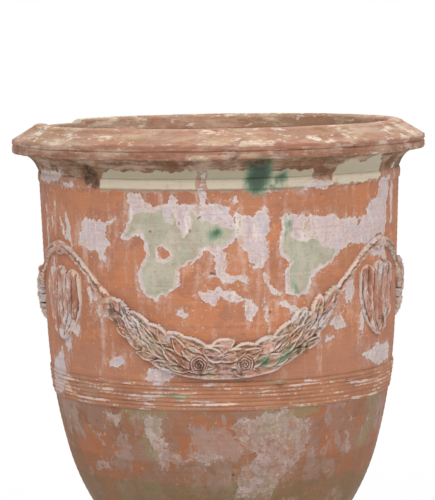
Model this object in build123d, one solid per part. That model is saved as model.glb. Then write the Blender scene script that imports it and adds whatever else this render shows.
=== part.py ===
"""Garden urn in terracotta: thrown sections, cordons over their joins, and press-moulded
garlands, rosettes, medallions and ribbon ties.

Millimetres, +Z up. The origin is on the ground under the middle of the foot. Azimuth 0
is the front, towards -Y, and grows towards +X.
"""
from build123d import *
from math import atan2, cos, degrees, pi, radians, sin, tan
import os

# Thrown sections, one above the other
foot_height = 108.0
bowl_height = 312.0
wall_height = 342.0

# Outer face of the bowl and wall, with where its curve changes
heel_radius = 141.5
hip_radius = 264.0
hip_rise = 192.0
bend_rise = 100.0
neck_radius = 305.5
wall_tilt = radians(2.0)
wall_thickness = 26.0
floor_thickness = 28.0
drain_radius = 18.0

# Foot
foot_radius = 168.0
foot_neck_radius = 116.0
foot_wall = 30.0
foot_base_height = 9.0
foot_roll_height = 26.0
foot_roll_bulge = 5.0
foot_shoulder = 21.0
foot_collar_height = 20.0
foot_collar_inset = 5.5
foot_collar_chamfer = 6.0

# Rim
rim_radius = 350.0
cavetto_rise = 32.0
cavetto_reach = 31.0
cavetto_hollow = 4.0
lower_roll_height = 12.0
upper_roll_height = 8.0
roll_bulge = 1.4
groove_width = 1.8
groove_depth = 2.4
slope_reach = 34.2
slope_rise = 20.0
lip_width = 27.0
lip_crest = 6.0

# Cordons
bead_height = 18.0
bead_relief = 2.6
reed_count = 7
reed_pitch = 6.6
reed_relief = 3.4
reed_valley = 1.4

# Garlands: each hangs from two ties to its own height above the join of bowl and wall
swag_count = 3
tie_below_neck = 106.0
front_swag_rise = 56.0
side_swag_rise = 96.0
swag_droop = 1.35
garland_width = 54.0
garland_relief = 15.0
strand_width = 13.0
strand_relief = 7.5
strand_angle = 46.0
dome_shoulder = 0.62
dome_shoulder_rise = 0.78
garland_stations = 13

# Leaves of a garland, in an upper and a lower row on each side of its middle
leaf_pairs = 3
leaf_start = 15.2
leaf_step = 8.4
leaf_length = 60.0
leaf_width = 30.0
leaf_shrink = 0.84
leaf_proud = 3.5
upper_leaf_offset = 12.0
upper_leaf_turn = 22.0
lower_leaf_offset = -10.0
lower_leaf_turn = -7.0

# Rosettes
rosette_angle = 6.9
rosette_radius = 14.5
rosette_bedding = 5.0
petal_count = 8
petal_rows = 3
petal_row_height = 2.4
petal_slope = 20.0

# Ribbon ties, which join the ends of two garlands over a medallion
tie_half_angle = 10.0
tie_stations = 5
knot_length = 27.0
knot_width = 17.0
knot_proud = 4.0

# Medallions
medallion_below_tie = 93.0
medallion_width = 112.0
medallion_height = 126.0
medallion_cheek = 15.0
medallion_relief = 7.0
rib_count = 5
rib_fan = 33.0
rib_start = 8.0
rib_length = 108.0
rib_width = 25.0
rib_proud = 5.0

# How far a sprig is carried into the wall before it is trimmed to the wall's face
bedding = 6.0

seam_height = foot_height + bowl_height
neck_height = seam_height + wall_height
tie_height = neck_height - tie_below_neck
swag_angle = 360.0 / swag_count
half_swag = swag_angle / 2


def arc_end_tilt(start, end, tilt):
    """Tilt at the end of an arc that leaves start at a tilt: the chord's tilt is their mean."""
    return 2 * atan2(start[0] - end[0], start[1] - end[1]) - tilt


def body_joints():
    """Neck, bend, hip and heel of the outer face, each a radius, a height and a tilt."""
    bend_height = seam_height + bend_rise
    hip_height = foot_height + hip_rise
    bend_radius = neck_radius - (neck_height - bend_height) * tan(wall_tilt)
    neck = (neck_radius, neck_height, wall_tilt)
    bend = (bend_radius, bend_height, wall_tilt)
    hip = (hip_radius, hip_height, arc_end_tilt(bend, (hip_radius, hip_height), wall_tilt))
    heel = (heel_radius, foot_height, arc_end_tilt(hip, (heel_radius, foot_height), hip[2]))
    return neck, bend, hip, heel


def wall_at(height):
    """Radius and tilt of the body's outer face at a height."""
    neck, bend, hip, heel = body_joints()
    if height >= bend[1]:
        return bend[0] + (height - bend[1]) * tan(wall_tilt), wall_tilt
    upper, lower = (bend, hip) if height >= hip[1] else (hip, heel)
    arc_radius = (upper[1] - lower[1]) / (sin(lower[2]) - sin(upper[2]))
    sine = sin(upper[2]) + (upper[1] - height) / arc_radius
    cosine = (1 - sine**2) ** 0.5
    return upper[0] - arc_radius * (cos(upper[2]) - cosine), atan2(sine, cosine)


def strip(low, high):
    """Part of the half section between two heights."""
    return Pos(0, (low + high) / 2) * Rectangle(4 * rim_radius, high - low)


def body_area(inset):
    """Half section of the body's outer face moved in by inset, filled to the axis."""
    neck, bend, hip, heel = [(r - inset * cos(t), h + inset * sin(t)) for r, h, t in body_joints()]
    upper_arc = TangentArc(bend, hip, tangent=(-sin(wall_tilt), -cos(wall_tilt)))
    lower_arc = TangentArc(hip, heel, tangent=upper_arc % 1)
    rest = Polyline(heel, (0, heel[1]), (0, neck[1]), neck, bend)
    return make_face(Curve() + [upper_arc, lower_arc, rest])


def ring(section):
    """Turn a half section about the vertical axis."""
    return revolve(Plane.XZ * section, Axis.Z)


def thrown_section():
    """Half section of the bowl and wall together, with the floor and its drain hole."""
    floor_top = foot_height + floor_thickness
    cavity = body_area(wall_thickness) & strip(floor_top, 2 * neck_height)
    drain = Pos(0, floor_top) * Rectangle(2 * drain_radius, 4 * floor_thickness)
    return (body_area(0) - cavity - drain) & strip(foot_height, neck_height)


def foot():
    """Pedestal ring: base, half-round roll, scotia and collar, hollow underneath."""
    roll_face = foot_radius - foot_roll_bulge
    roll_top = foot_base_height + foot_roll_height
    collar_base = foot_height - foot_collar_height
    collar_radius = heel_radius - foot_collar_inset
    bore_radius = foot_neck_radius - foot_wall
    shoulder = (roll_face - foot_shoulder, roll_top)
    neck = (foot_neck_radius, collar_base)
    outline = Curve() + [
        Line((roll_face, 0), (roll_face, foot_base_height)),
        SagittaArc((roll_face, foot_base_height), (roll_face, roll_top), -foot_roll_bulge),
        Line((roll_face, roll_top), shoulder),
        TangentArc(neck, shoulder, tangent=(0, -1)),
        Polyline(
            neck,
            (collar_radius, collar_base + foot_collar_chamfer),
            (collar_radius, foot_height),
            (bore_radius, foot_height),
            (bore_radius, collar_base),
            (roll_face - foot_wall, 0),
            (roll_face, 0),
        ),
    ]
    return ring(make_face(outline))


def rim():
    """Moulded rim: cavetto, underside, two rolls with a groove, sloped top and raised lip."""
    inner_neck = neck_radius - wall_thickness / cos(wall_tilt)
    face = rim_radius - roll_bulge
    cavetto_start = (neck_radius, neck_height + bead_height / 2)
    cavetto_end = (neck_radius + cavetto_reach, cavetto_start[1] + cavetto_rise)
    lower_foot = (face, cavetto_end[1])
    lower_head = (face, lower_foot[1] + lower_roll_height)
    groove = (face - groove_depth, lower_head[1] + groove_width / 2)
    upper_foot = (face, lower_head[1] + groove_width)
    upper_head = (face, upper_foot[1] + upper_roll_height)
    lip_outer = (face - slope_reach, upper_head[1] + slope_rise)
    lip_inner = (lip_outer[0] - lip_width, lip_outer[1])
    outline = Curve() + [
        Polyline(lip_inner, (inner_neck, neck_height), (neck_radius, neck_height), cavetto_start),
        SagittaArc(cavetto_start, cavetto_end, cavetto_hollow),
        Line(cavetto_end, lower_foot),
        SagittaArc(lower_foot, lower_head, -roll_bulge),
        Polyline(lower_head, groove, upper_foot),
        SagittaArc(upper_foot, upper_head, -roll_bulge),
        Line(upper_head, lip_outer),
        SagittaArc(lip_outer, lip_inner, -lip_crest),
    ]
    return ring(make_face(outline))


def neck_bead(body, rim_ring):
    """Flat cordon with two sloped edges over the join of wall and rim."""
    half = bead_height / 2
    face = neck_radius + bead_relief
    root = neck_radius - bedding
    section = make_face(Polyline(
        (root, neck_height - half),
        (neck_radius, neck_height - half),
        (face, neck_height - half + bead_relief),
        (face, neck_height + half - bead_relief),
        (neck_radius, neck_height + half),
        (root, neck_height + half),
        (root, neck_height - half),
    ))
    return ring(section) - body - rim_ring


def reeded_band(body):
    """Cordon of fine reeds over the join of bowl and wall, drawn square to the wall there."""
    seam_radius, tilt = wall_at(seam_height)
    half = reed_count * reed_pitch / 2
    reeds = [(reed_relief, (i + 0.5) * reed_pitch - half) for i in range(reed_count)]
    valleys = [(reed_valley, i * reed_pitch - half) for i in range(1, reed_count)]
    ridges = sorted(reeds + valleys, key=lambda point: point[1])
    outline = Polyline((-bedding, -half), (0, -half), *ridges, (0, half), (-bedding, half), (-bedding, -half))
    section = Pos(seam_radius, seam_height) * Rot(0, 0, -degrees(tilt)) * make_face(outline)
    return ring(section) - body


def on_wall(azimuth, height):
    """Point on the body's outer face, and the direction out of it."""
    radius, tilt = wall_at(height)
    turn = radians(azimuth)
    point = Vector(radius * sin(turn), -radius * cos(turn), height)
    outward = Vector(sin(turn) * cos(tilt), -cos(turn) * cos(tilt), -sin(tilt))
    return point, outward


def swag_line(swag_rise):
    """Line of a garland in front: low at its middle, and level again where it is tied."""
    drop = tie_height - seam_height - swag_rise

    def height(azimuth):
        return tie_height - drop * (1 + cos(pi * (abs(azimuth) / half_swag) ** swag_droop)) / 2
    return height


def strand_plane(line, azimuth):
    """Plane square to a line on the wall: x up across the line, y out of the wall."""
    point, outward = on_wall(azimuth, line(azimuth))
    before = on_wall(azimuth - 0.5, line(azimuth - 0.5))[0]
    after = on_wall(azimuth + 0.5, line(azimuth + 0.5))[0]
    along = (after - before).normalized()
    return Plane(point, x_dir=outward.cross(along), z_dir=along)


def strand_section(width, relief):
    """Domed section of a garland in four flats, carried into the wall by the bedding."""
    half = width / 2
    edge = half * dome_shoulder
    shoulder = relief * dome_shoulder_rise
    return make_face(Polyline(
        (-half, -bedding),
        (-half, 0),
        (-edge, shoulder),
        (0, relief),
        (edge, shoulder),
        (half, 0),
        (half, -bedding),
        (-half, -bedding),
    ))


def strand(line, half_angle, stations, width_at, relief_at):
    """Loft along a line on the wall, a little past the angles where its ends are cut."""
    reach = half_angle + 1
    angles = [reach * (2 * i / (stations - 1) - 1) for i in range(stations)]
    return loft([strand_plane(line, a) * strand_section(width_at(a), relief_at(a)) for a in angles])


def cut_ends(solid, half_angle):
    """Keep what lies within an angle each side of the front."""
    for side in (-1, 1):
        inward = Vector(-side, 0, 0).rotate(Axis.Z, side * half_angle)
        solid = split(solid, bisect_by=Plane((0, 0, 0), z_dir=inward), keep=Keep.TOP)
    return solid


def swell(azimuth):
    """1 at the middle of a garland, falling to 0 where it narrows to a strand."""
    return (1 + cos(pi * min(1.0, abs(azimuth) / strand_angle) ** 2)) / 2


def garland_width_at(azimuth):
    """Width of a garland at an angle from its middle."""
    return strand_width + (garland_width - strand_width) * swell(azimuth)


def garland_relief_at(azimuth):
    """How far a garland's crown stands off the wall at an angle from its middle."""
    return strand_relief + (garland_relief - strand_relief) * swell(azimuth)


def leaf_outline(length, width):
    """Two arcs that meet in a point at each end."""
    return make_face(Curve() + [
        ThreePointArc((-length / 2, 0), (0, width / 2), (length / 2, 0)),
        ThreePointArc((length / 2, 0), (0, -width / 2), (-length / 2, 0)),
    ])


def leaf(length, width, height):
    """Pointed leaf on XY with its tip along +X: flanks rise to a midrib, the underside is bedded."""
    outline = leaf_outline(length, width)
    midrib = Pos(0, 0, height) * leaf_outline(0.8 * length, 0.16 * width)
    return extrude(outline, -bedding) + loft([outline, midrib])


def garland(line, body, band):
    """Garland in front: a swelling strand with rows of leaves that point to its ties."""
    end = half_swag - tie_half_angle
    core = strand(line, end, garland_stations, garland_width_at, garland_relief_at)
    rows = ((upper_leaf_offset, upper_leaf_turn), (lower_leaf_offset, lower_leaf_turn))
    leaves = []
    for side in (-1, 1):
        for i in range(leaf_pairs):
            azimuth = side * (leaf_start + i * leaf_step)
            size = leaf_shrink**i
            narrowing = garland_width_at(azimuth) / garland_width
            blade = leaf(leaf_length * size, leaf_width * size, garland_relief_at(azimuth) + leaf_proud)
            middle = strand_plane(line, azimuth)
            for offset, turn in rows:
                place = middle.origin + middle.x_dir * offset * narrowing
                laid = Plane(place, x_dir=middle.z_dir * side, z_dir=middle.y_dir)
                leaves.append(laid * Rot(0, 0, turn * side) * blade)
    return cut_ends(core + leaves, end) - body - band


def rosettes(line, swag):
    """Two flowers on a garland: rows of petals, each row turned by half a petal."""
    flowers = []
    for azimuth in (-rosette_angle, rosette_angle):
        middle = strand_plane(line, azimuth)
        seat = middle.origin + middle.y_dir * (garland_relief_at(azimuth) - rosette_bedding)
        flower = Part()
        for row in range(petal_rows):
            radius = rosette_radius * (1 - row / petal_rows)
            petals = RegularPolygon(radius, petal_count, rotation=row * 180 / petal_count)
            flower += extrude(petals, rosette_bedding + petal_row_height * (row + 1), taper=petal_slope)
        flowers.append(Plane(seat, x_dir=middle.x_dir, z_dir=middle.y_dir) * flower - swag)
    return Part() + flowers


def ribbon_tie(left_line, right_line, body):
    """Ribbon in front that arches over a medallion from one garland's end to the next."""
    def line(azimuth):
        return (left_line if azimuth < 0 else right_line)(half_swag - abs(azimuth))
    ribbon = strand(line, tie_half_angle, tie_stations, lambda a: strand_width, lambda a: strand_relief)
    top = strand_plane(line, 0)
    knot = leaf(knot_length, knot_width, strand_relief + knot_proud)
    knot = Plane(top.origin, x_dir=top.x_dir, z_dir=top.y_dir) * knot
    return cut_ends(ribbon + knot, tie_half_angle) - body


def medallion(body, band):
    """Shield in front with a round head and a pointed foot, ribbed like a shell."""
    half_width = medallion_width / 2
    half_height = medallion_height / 2
    point = (0, -half_height)
    outline = make_face(Curve() + [
        ThreePointArc((-half_width, 0), (0, half_height), (half_width, 0)),
        SagittaArc((half_width, 0), point, -medallion_cheek),
        SagittaArc(point, (-half_width, 0), -medallion_cheek),
    ])
    centre, outward = on_wall(0, tie_height - medallion_below_tie)
    face = Plane(centre, x_dir=(1, 0, 0), z_dir=outward)
    block = face * Pos(0, 0, -wall_thickness) * extrude(outline, 2 * wall_thickness)
    rib = Pos(rib_start + rib_length / 2, 0) * leaf(rib_length, rib_width, medallion_relief + rib_proud)
    turns = [90 + rib_fan * (2 * i / (rib_count - 1) - 1) for i in range(rib_count)]
    ribs = Part() + [face * Pos(*point) * Rot(0, 0, turn) * rib for turn in turns]
    plate = block & ring(body_area(-medallion_relief))
    return plate + (ribs & block) - body - band


def around(azimuth, piece):
    """Turn a piece made in front about the vertical axis to its place."""
    return Rot(0, 0, azimuth) * piece


body = ring(body_area(0))
rim_ring = rim()
band = reeded_band(body)
front_line = swag_line(front_swag_rise)
side_line = swag_line(side_swag_rise)
front_garland = garland(front_line, body, band)
side_garland = garland(side_line, body, band)
side_rosettes = rosettes(side_line, side_garland)
shield = medallion(body, band)

pieces = {
    "foot": foot(),
    "bowl": ring(thrown_section() & strip(foot_height, seam_height)),
    "upper_wall": ring(thrown_section() & strip(seam_height, neck_height)),
    "rim": rim_ring,
    "neck_bead": neck_bead(body, rim_ring),
    "reeded_band": band,
    "garland_front": front_garland,
    "garland_right": around(swag_angle, side_garland),
    "garland_left": around(-swag_angle, side_garland),
    "rosettes_front": rosettes(front_line, front_garland),
    "rosettes_right": around(swag_angle, side_rosettes),
    "rosettes_left": around(-swag_angle, side_rosettes),
    "tie_right": around(half_swag, ribbon_tie(front_line, side_line, body)),
    "tie_left": around(-half_swag, ribbon_tie(side_line, front_line, body)),
    "tie_back": around(180, ribbon_tie(side_line, side_line, body)),
    "medallion_right": around(half_swag, shield),
    "medallion_left": around(-half_swag, shield),
    "medallion_back": around(180, shield),
}

os.makedirs("parts", exist_ok=True)
for name, piece in pieces.items():
    export_step(piece, f"parts/{name}.step")
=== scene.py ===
"""A weathered garden urn of fired clay with garlands, medallions and the remains of its glaze.

Lengths are in millimetres until a mesh is made. Azimuths are in degrees, 0 at the front (-Y),
growing towards +X.
"""

import functools
import math

import bpy
import numpy as np
from mathutils import Matrix


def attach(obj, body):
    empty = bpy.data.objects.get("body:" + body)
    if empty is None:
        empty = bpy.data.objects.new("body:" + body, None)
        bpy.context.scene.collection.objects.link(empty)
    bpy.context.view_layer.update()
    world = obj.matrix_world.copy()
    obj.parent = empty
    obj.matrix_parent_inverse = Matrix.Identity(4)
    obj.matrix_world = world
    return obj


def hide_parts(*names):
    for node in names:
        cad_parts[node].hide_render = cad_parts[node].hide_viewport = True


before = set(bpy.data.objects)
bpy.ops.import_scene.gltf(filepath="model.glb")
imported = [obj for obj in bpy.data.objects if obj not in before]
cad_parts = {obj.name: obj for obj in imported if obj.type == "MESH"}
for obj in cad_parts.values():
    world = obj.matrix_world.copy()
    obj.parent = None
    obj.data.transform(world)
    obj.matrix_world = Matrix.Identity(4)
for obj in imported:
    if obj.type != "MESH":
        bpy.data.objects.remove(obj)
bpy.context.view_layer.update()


# Camera
# It stands 4.4 m in front of the urn, a little above the rim, and looks slightly down.
# The picture is turned by about a degree, as a hand-held camera leaves it. The picture's width,
# the focal length and the offset are in pixels, the dip and the lean in radians.

picture_width = 435.0
focal_length = 2594.0
off_middle = 2.56
dip = 0.0922
lean = 0.016
camera_data = bpy.data.cameras.new("camera")
camera_data.sensor_fit = "HORIZONTAL"
camera_data.sensor_width = 36.0
camera_data.lens = 36.0 * focal_length / picture_width
camera_data.shift_x = -off_middle / picture_width
camera_data.clip_end = 60.0
camera = bpy.data.objects.new("camera", camera_data)
camera_turn = Matrix.Rotation(math.pi / 2 - dip, 4, "X") @ Matrix.Rotation(-lean, 4, "Z")
camera.matrix_world = Matrix.Translation((0.0, -4.4, 1.0366)) @ camera_turn
bpy.context.scene.collection.objects.link(camera)
bpy.context.scene.camera = camera


# Studio
# A broad soft lamp on the left, weaker ones on the right and behind, an even pale world and a pale
# floor. The camera sees the world as white, and the floor nearly so: it keeps the urn's shadow, and
# turns white further off, so that no horizon shows.

bpy.context.scene.view_settings.view_transform = "Standard"


def soft_lamp(name, place, aim, size, power):
    """A square area lamp at a place in metres, turned to the point it lights."""
    data = bpy.data.lights.new(name, "AREA")
    data.shape = "SQUARE"
    data.size = size
    data.energy = power
    lamp = bpy.data.objects.new(name, data)
    bpy.context.scene.collection.objects.link(lamp)
    ray = np.array(aim) - np.array(place)
    yaw = math.atan2(ray[0], -ray[1])
    dip = math.atan2(math.hypot(ray[0], ray[1]), -ray[2])
    lamp.matrix_world = (
        Matrix.Translation(place) @ Matrix.Rotation(yaw, 4, "Z") @ Matrix.Rotation(-dip, 4, "X")
    )


soft_lamp("key_lamp", (-1.8, -3.2, 3.9), (0.0, 0.0, 0.6), 2.2, 120.0)
soft_lamp("fill_lamp", (2.6, -2.6, 3.4), (0.0, 0.0, 0.6), 2.4, 92.0)
soft_lamp("back_lamp", (0.4, 3.4, 3.8), (0.0, 0.0, 0.6), 2.4, 90.0)


class Wire:
    """One output of a node tree, with which sums are written as with a number."""

    def __init__(self, shade, socket):
        self.shade = shade
        self.socket = socket

    def maths(self, operation, *values):
        """A Math node of that operation on the values."""
        node = self.shade.node("ShaderNodeMath", {"operation": operation}, dict(enumerate(values)))
        return Wire(self.shade, node.outputs[0])

    def __add__(self, other):
        return self.maths("ADD", self, other)

    def __radd__(self, other):
        return self.maths("ADD", other, self)

    def __sub__(self, other):
        return self.maths("SUBTRACT", self, other)

    def __rsub__(self, other):
        return self.maths("SUBTRACT", other, self)

    def __mul__(self, other):
        return self.maths("MULTIPLY", self, other)

    def __rmul__(self, other):
        return self.maths("MULTIPLY", other, self)

    def larger(self, other):
        return self.maths("MAXIMUM", self, other)

    def step(self, low, high):
        """0 below low, 1 above high and a smooth rise between them."""
        node = self.shade.node(
            "ShaderNodeMapRange",
            {"interpolation_type": "SMOOTHSTEP", "clamp": True},
            {"Value": self, "From Min": low, "From Max": high, "To Min": 0.0, "To Max": 1.0},
        )
        return Wire(self.shade, node.outputs[0])


class Shade:
    """The node tree of a material or of the world while it is put together."""

    def __init__(self, owner):
        self.owner = owner
        owner.use_nodes = True
        self.tree = owner.node_tree
        self.tree.nodes.clear()

    @functools.cached_property
    def place(self):
        """The point that is shaded, in the piece's own space, in metres."""
        return Wire(self, self.node("ShaderNodeTexCoord", {}, {}).outputs["Object"])

    def node(self, kind, settings, inputs):
        """Adds a node, sets its properties and then gives its sockets their links or values."""
        made = self.tree.nodes.new(kind)
        for key, value in settings.items():
            setattr(made, key, value)
        for key, value in inputs.items():
            if isinstance(value, Wire):
                self.tree.links.new(value.socket, made.inputs[key])
            else:
                made.inputs[key].default_value = value
        return made

    def field(self, name):
        """The mesh's own float attribute of that name."""
        return Wire(self, self.node("ShaderNodeAttribute", {"attribute_name": name}, {}).outputs["Fac"])

    def noise(self, scale, detail=3.0, rough=0.55, stretch=(1.0, 1.0, 1.0), shift=0.0):
        """Noise from 0 to 1 in object space, with a scale per metre on each axis."""
        turned_place = self.node(
            "ShaderNodeMapping", {}, {"Vector": self.place, "Scale": stretch, "Location": (shift,) * 3}
        )
        node = self.node(
            "ShaderNodeTexNoise",
            {},
            {
                "Vector": Wire(self, turned_place.outputs[0]),
                "Scale": scale,
                "Detail": detail,
                "Roughness": rough,
            },
        )
        return Wire(self, node.outputs[0])

    def blend(self, share, below, above):
        """One colour over another by a share from 0 to 1. A colour is a tuple or a wire."""
        node = self.node(
            "ShaderNodeMix", {"data_type": "RGBA", "clamp_factor": True}, {0: share, 6: below, 7: above}
        )
        return Wire(self, node.outputs[2])

    def surface(self, colour, rough, relief, distance, coat):
        """The shader itself. Its bump is a relief of 0 to 1 times a distance in metres."""
        bump = self.node(
            "ShaderNodeBump", {}, {"Height": relief, "Distance": distance, "Strength": 1.0}
        )
        shader = self.node(
            "ShaderNodeBsdfPrincipled",
            {},
            {
                "Base Color": colour,
                "Roughness": rough,
                "Coat Weight": coat,
                "Normal": Wire(self, bump.outputs[0]),
                "Specular IOR Level": 0.35,
                "Coat Roughness": 0.22,
            },
        )
        self.node("ShaderNodeOutputMaterial", {}, {"Surface": Wire(self, shader.outputs[0])})


def backdrop_rays(shade):
    """1 for the rays that see the backdrop: straight from the camera, by gloss or through glass."""
    path = shade.node("ShaderNodeLightPath", {}, {})
    seen = Wire(shade, path.outputs["Is Camera Ray"])
    for kind in ("Is Glossy Ray", "Is Transmission Ray"):
        seen = seen.larger(Wire(shade, path.outputs[kind]))
    return seen


white = (1.0, 1.0, 1.0, 1.0)
world = bpy.data.worlds.new("studio")
bpy.context.scene.world = world
sky = Shade(world)
sky_lit = sky.node("ShaderNodeBackground", {}, {"Color": white, "Strength": 0.46})
sky_seen = sky.node("ShaderNodeBackground", {}, {"Color": white, "Strength": 1.0})
sky_mix = sky.node(
    "ShaderNodeMixShader",
    {},
    {0: backdrop_rays(sky), 1: Wire(sky, sky_lit.outputs[0]), 2: Wire(sky, sky_seen.outputs[0])},
)
sky.node("ShaderNodeOutputWorld", {}, {"Surface": Wire(sky, sky_mix.outputs[0])})

floor_mesh = bpy.data.meshes.new("floor")
floor_mesh.from_pydata(
    [(-30.0, -30.0, 0.0), (30.0, -30.0, 0.0), (30.0, 30.0, 0.0), (-30.0, 30.0, 0.0)],
    [],
    [(0, 1, 2, 3)],
)
floor = bpy.data.objects.new("floor", floor_mesh)
bpy.context.scene.collection.objects.link(floor)
paint = Shade(bpy.data.materials.new("pale_floor"))
far_off = paint.node("ShaderNodeVectorMath", {"operation": "LENGTH"}, {0: paint.place})
glow = 0.9 + 0.1 * Wire(paint, far_off.outputs["Value"]).step(1.2, 4.0)
matt = paint.node("ShaderNodeBsdfDiffuse", {}, {"Color": (0.86, 0.86, 0.86, 1.0)})
glowing = paint.node("ShaderNodeEmission", {}, {"Color": white, "Strength": 1.0})
floor_mix = paint.node(
    "ShaderNodeMixShader",
    {},
    {
        0: backdrop_rays(paint) * glow,
        1: Wire(paint, matt.outputs[0]),
        2: Wire(paint, glowing.outputs[0]),
    },
)
paint.node("ShaderNodeOutputMaterial", {}, {"Surface": Wire(paint, floor_mix.outputs[0])})
floor_mesh.materials.append(paint.owner)


# Upper wall
# The tall upper part of the body, thrown on a wheel in red clay, then brushed with pale slip and
# glazed. Most of the glaze has flaked away, down to the slip at its edges and to the bare clay.

# Heights of the three joins and the wall's thickness in mm, and how wide a degree is counted.
foot_join = 108.0
bowl_join = 420.0
rim_join = 762.0
wall_thickness = 26.0
mm_per_degree = 5.2


def wall_at(height):
    """Radius in mm and lean in radians of the outer wall at heights in mm.

    Above the bend, r = 305.5 - (762 - z) tan 2. Below it come two arcs, each from a joint
    (r1, z1, lean 1) down to (r2, z2, lean 2): R = (z1 - z2) / (sin lean 2 - sin lean 1),
    sin lean = sin lean 1 + (z1 - z) / R, and r = r1 - R (cos lean 1 - cos lean).
    """
    height = np.asarray(height, float)
    lean = np.full(height.shape, math.radians(2.0))
    radius = 305.5 - (762.0 - height) * math.tan(math.radians(2.0))
    joints = ((297.05, 520.0, 2.0), (264.0, 300.0, 15.09), (141.5, 108.0, 49.99))
    for upper, lower in zip(joints, joints[1:]):
        sine = math.sin(math.radians(upper[2]))
        arc = (upper[1] - lower[1]) / (math.sin(math.radians(lower[2])) - sine)
        turned_lean = np.arcsin(np.clip(sine + (upper[1] - height) / arc, -1.0, 1.0))
        turned_radius = upper[0] - arc * (math.cos(math.radians(upper[2])) - np.cos(turned_lean))
        here = height < upper[1]
        lean = np.where(here, turned_lean, lean)
        radius = np.where(here, turned_radius, radius)
    return radius, lean


def unevenness(azimuth, height):
    """How far the thrown wall stands in from its true shape, in mm: slow waves and finger rings.

    0.9 + 0.5 sin(2a + 0.6) + 0.25 sin(3a - 1.1 + z/90) + 0.2 sin(2 pi z/11 + sin a), about 0 to 1.8.
    """
    turn = np.radians(azimuth)
    slow = 0.5 * np.sin(2 * turn + 0.6) + 0.25 * np.sin(3 * turn - 1.1 + height / 90.0)
    rings = 0.2 * np.sin(2 * math.pi * height / 11.0 + np.sin(turn))
    return 0.9 + slow + rings


def smooth_step(low, high, value):
    """0 below low, 1 above high, and 3t^2 - 2t^3 between them."""
    part = np.clip((value - low) / (high - low), 0.0, 1.0)
    return part * part * (3.0 - 2.0 * part)


def inside(azimuth, height, outline):
    """Distance in mm of points of the wall inside an outline of (azimuth, height) corners.

    A degree counts 5.2 mm. The distance to the nearest side is positive inside and negative
    outside, where a ray to the right crosses the sides an even number of times.
    """
    x = azimuth * mm_per_degree
    corners = [(corner[0] * mm_per_degree, corner[1]) for corner in outline]
    nearest = np.full(x.shape, 1e9)
    odd = np.zeros(x.shape, bool)
    for (x1, y1), (x2, y2) in zip(corners, corners[1:] + corners[:1]):
        length = (x2 - x1) ** 2 + (y2 - y1) ** 2
        along = np.clip(((x - x1) * (x2 - x1) + (height - y1) * (y2 - y1)) / length, 0.0, 1.0)
        gap = np.hypot(x - x1 - along * (x2 - x1), height - y1 - along * (y2 - y1))
        nearest = np.minimum(nearest, gap)
        if y1 != y2:
            crossing = (y1 > height) != (y2 > height)
            odd ^= crossing & (x < x1 + (height - y1) * (x2 - x1) / (y2 - y1))
    return np.where(odd, nearest, -nearest)


def blot(azimuth, height, centre, size, turn=0.0):
    """Distance in mm inside an oval spot: (1 - |p / size|) times its smaller half-width.

    The centre is in degrees and mm, the half-widths are in mm, and the turn is in degrees.
    """
    x = ((azimuth - centre[0] + 180.0) % 360.0 - 180.0) * mm_per_degree
    y = height - centre[1]
    angle = math.radians(turn)
    across = (x * math.cos(angle) + y * math.sin(angle)) / size[0]
    along = (y * math.cos(angle) - x * math.sin(angle)) / size[1]
    return (1.0 - np.hypot(across, along)) * min(size)


def glaze_left(azimuth, height):
    """Distance in mm inside the areas where the grey-green glaze is left on the front."""
    large = (
        (-31, 678), (-28.5, 699), (-26.5, 715), (-23, 720), (-18, 721), (-8, 724), (-5.6, 706),
        (0, 698), (4.5, 691), (4, 680), (1.2, 664), (-6, 663), (-7, 650), (-8.4, 640), (-13, 630),
        (-14, 615), (-14.4, 602), (-16.3, 590), (-19.3, 583), (-22.4, 585), (-24.3, 598),
        (-25, 612), (-24, 630), (-22.5, 649), (-22.4, 669), (-24, 684), (-26, 688), (-28.5, 681),
    )
    right = (
        (20, 700), (21.5, 687), (23, 672), (28, 667), (31, 672), (34, 657), (38.5, 648), (37, 632),
        (33, 628), (29.5, 616), (28, 599), (27.5, 588), (25.3, 583), (22, 588), (21, 603),
        (21.4, 620), (23, 634), (21, 643), (19.2, 648), (19.2, 657), (20, 674),
    )
    area = np.maximum(inside(azimuth, height, large), inside(azimuth, height, right))
    hole = blot(azimuth, height, (-17.6, 651), (14.0, 15.0))
    drips = np.maximum(
        inside(azimuth, height, ((-17, 728), (-14.3, 728), (-14.6, 702), (-16.4, 702))),
        inside(azimuth, height, ((-13.3, 728), (-8.6, 728), (-8.6, 700), (-10.6, 678), (-13, 700))),
    )
    return np.minimum(area, -np.maximum(hole, drips))


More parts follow.
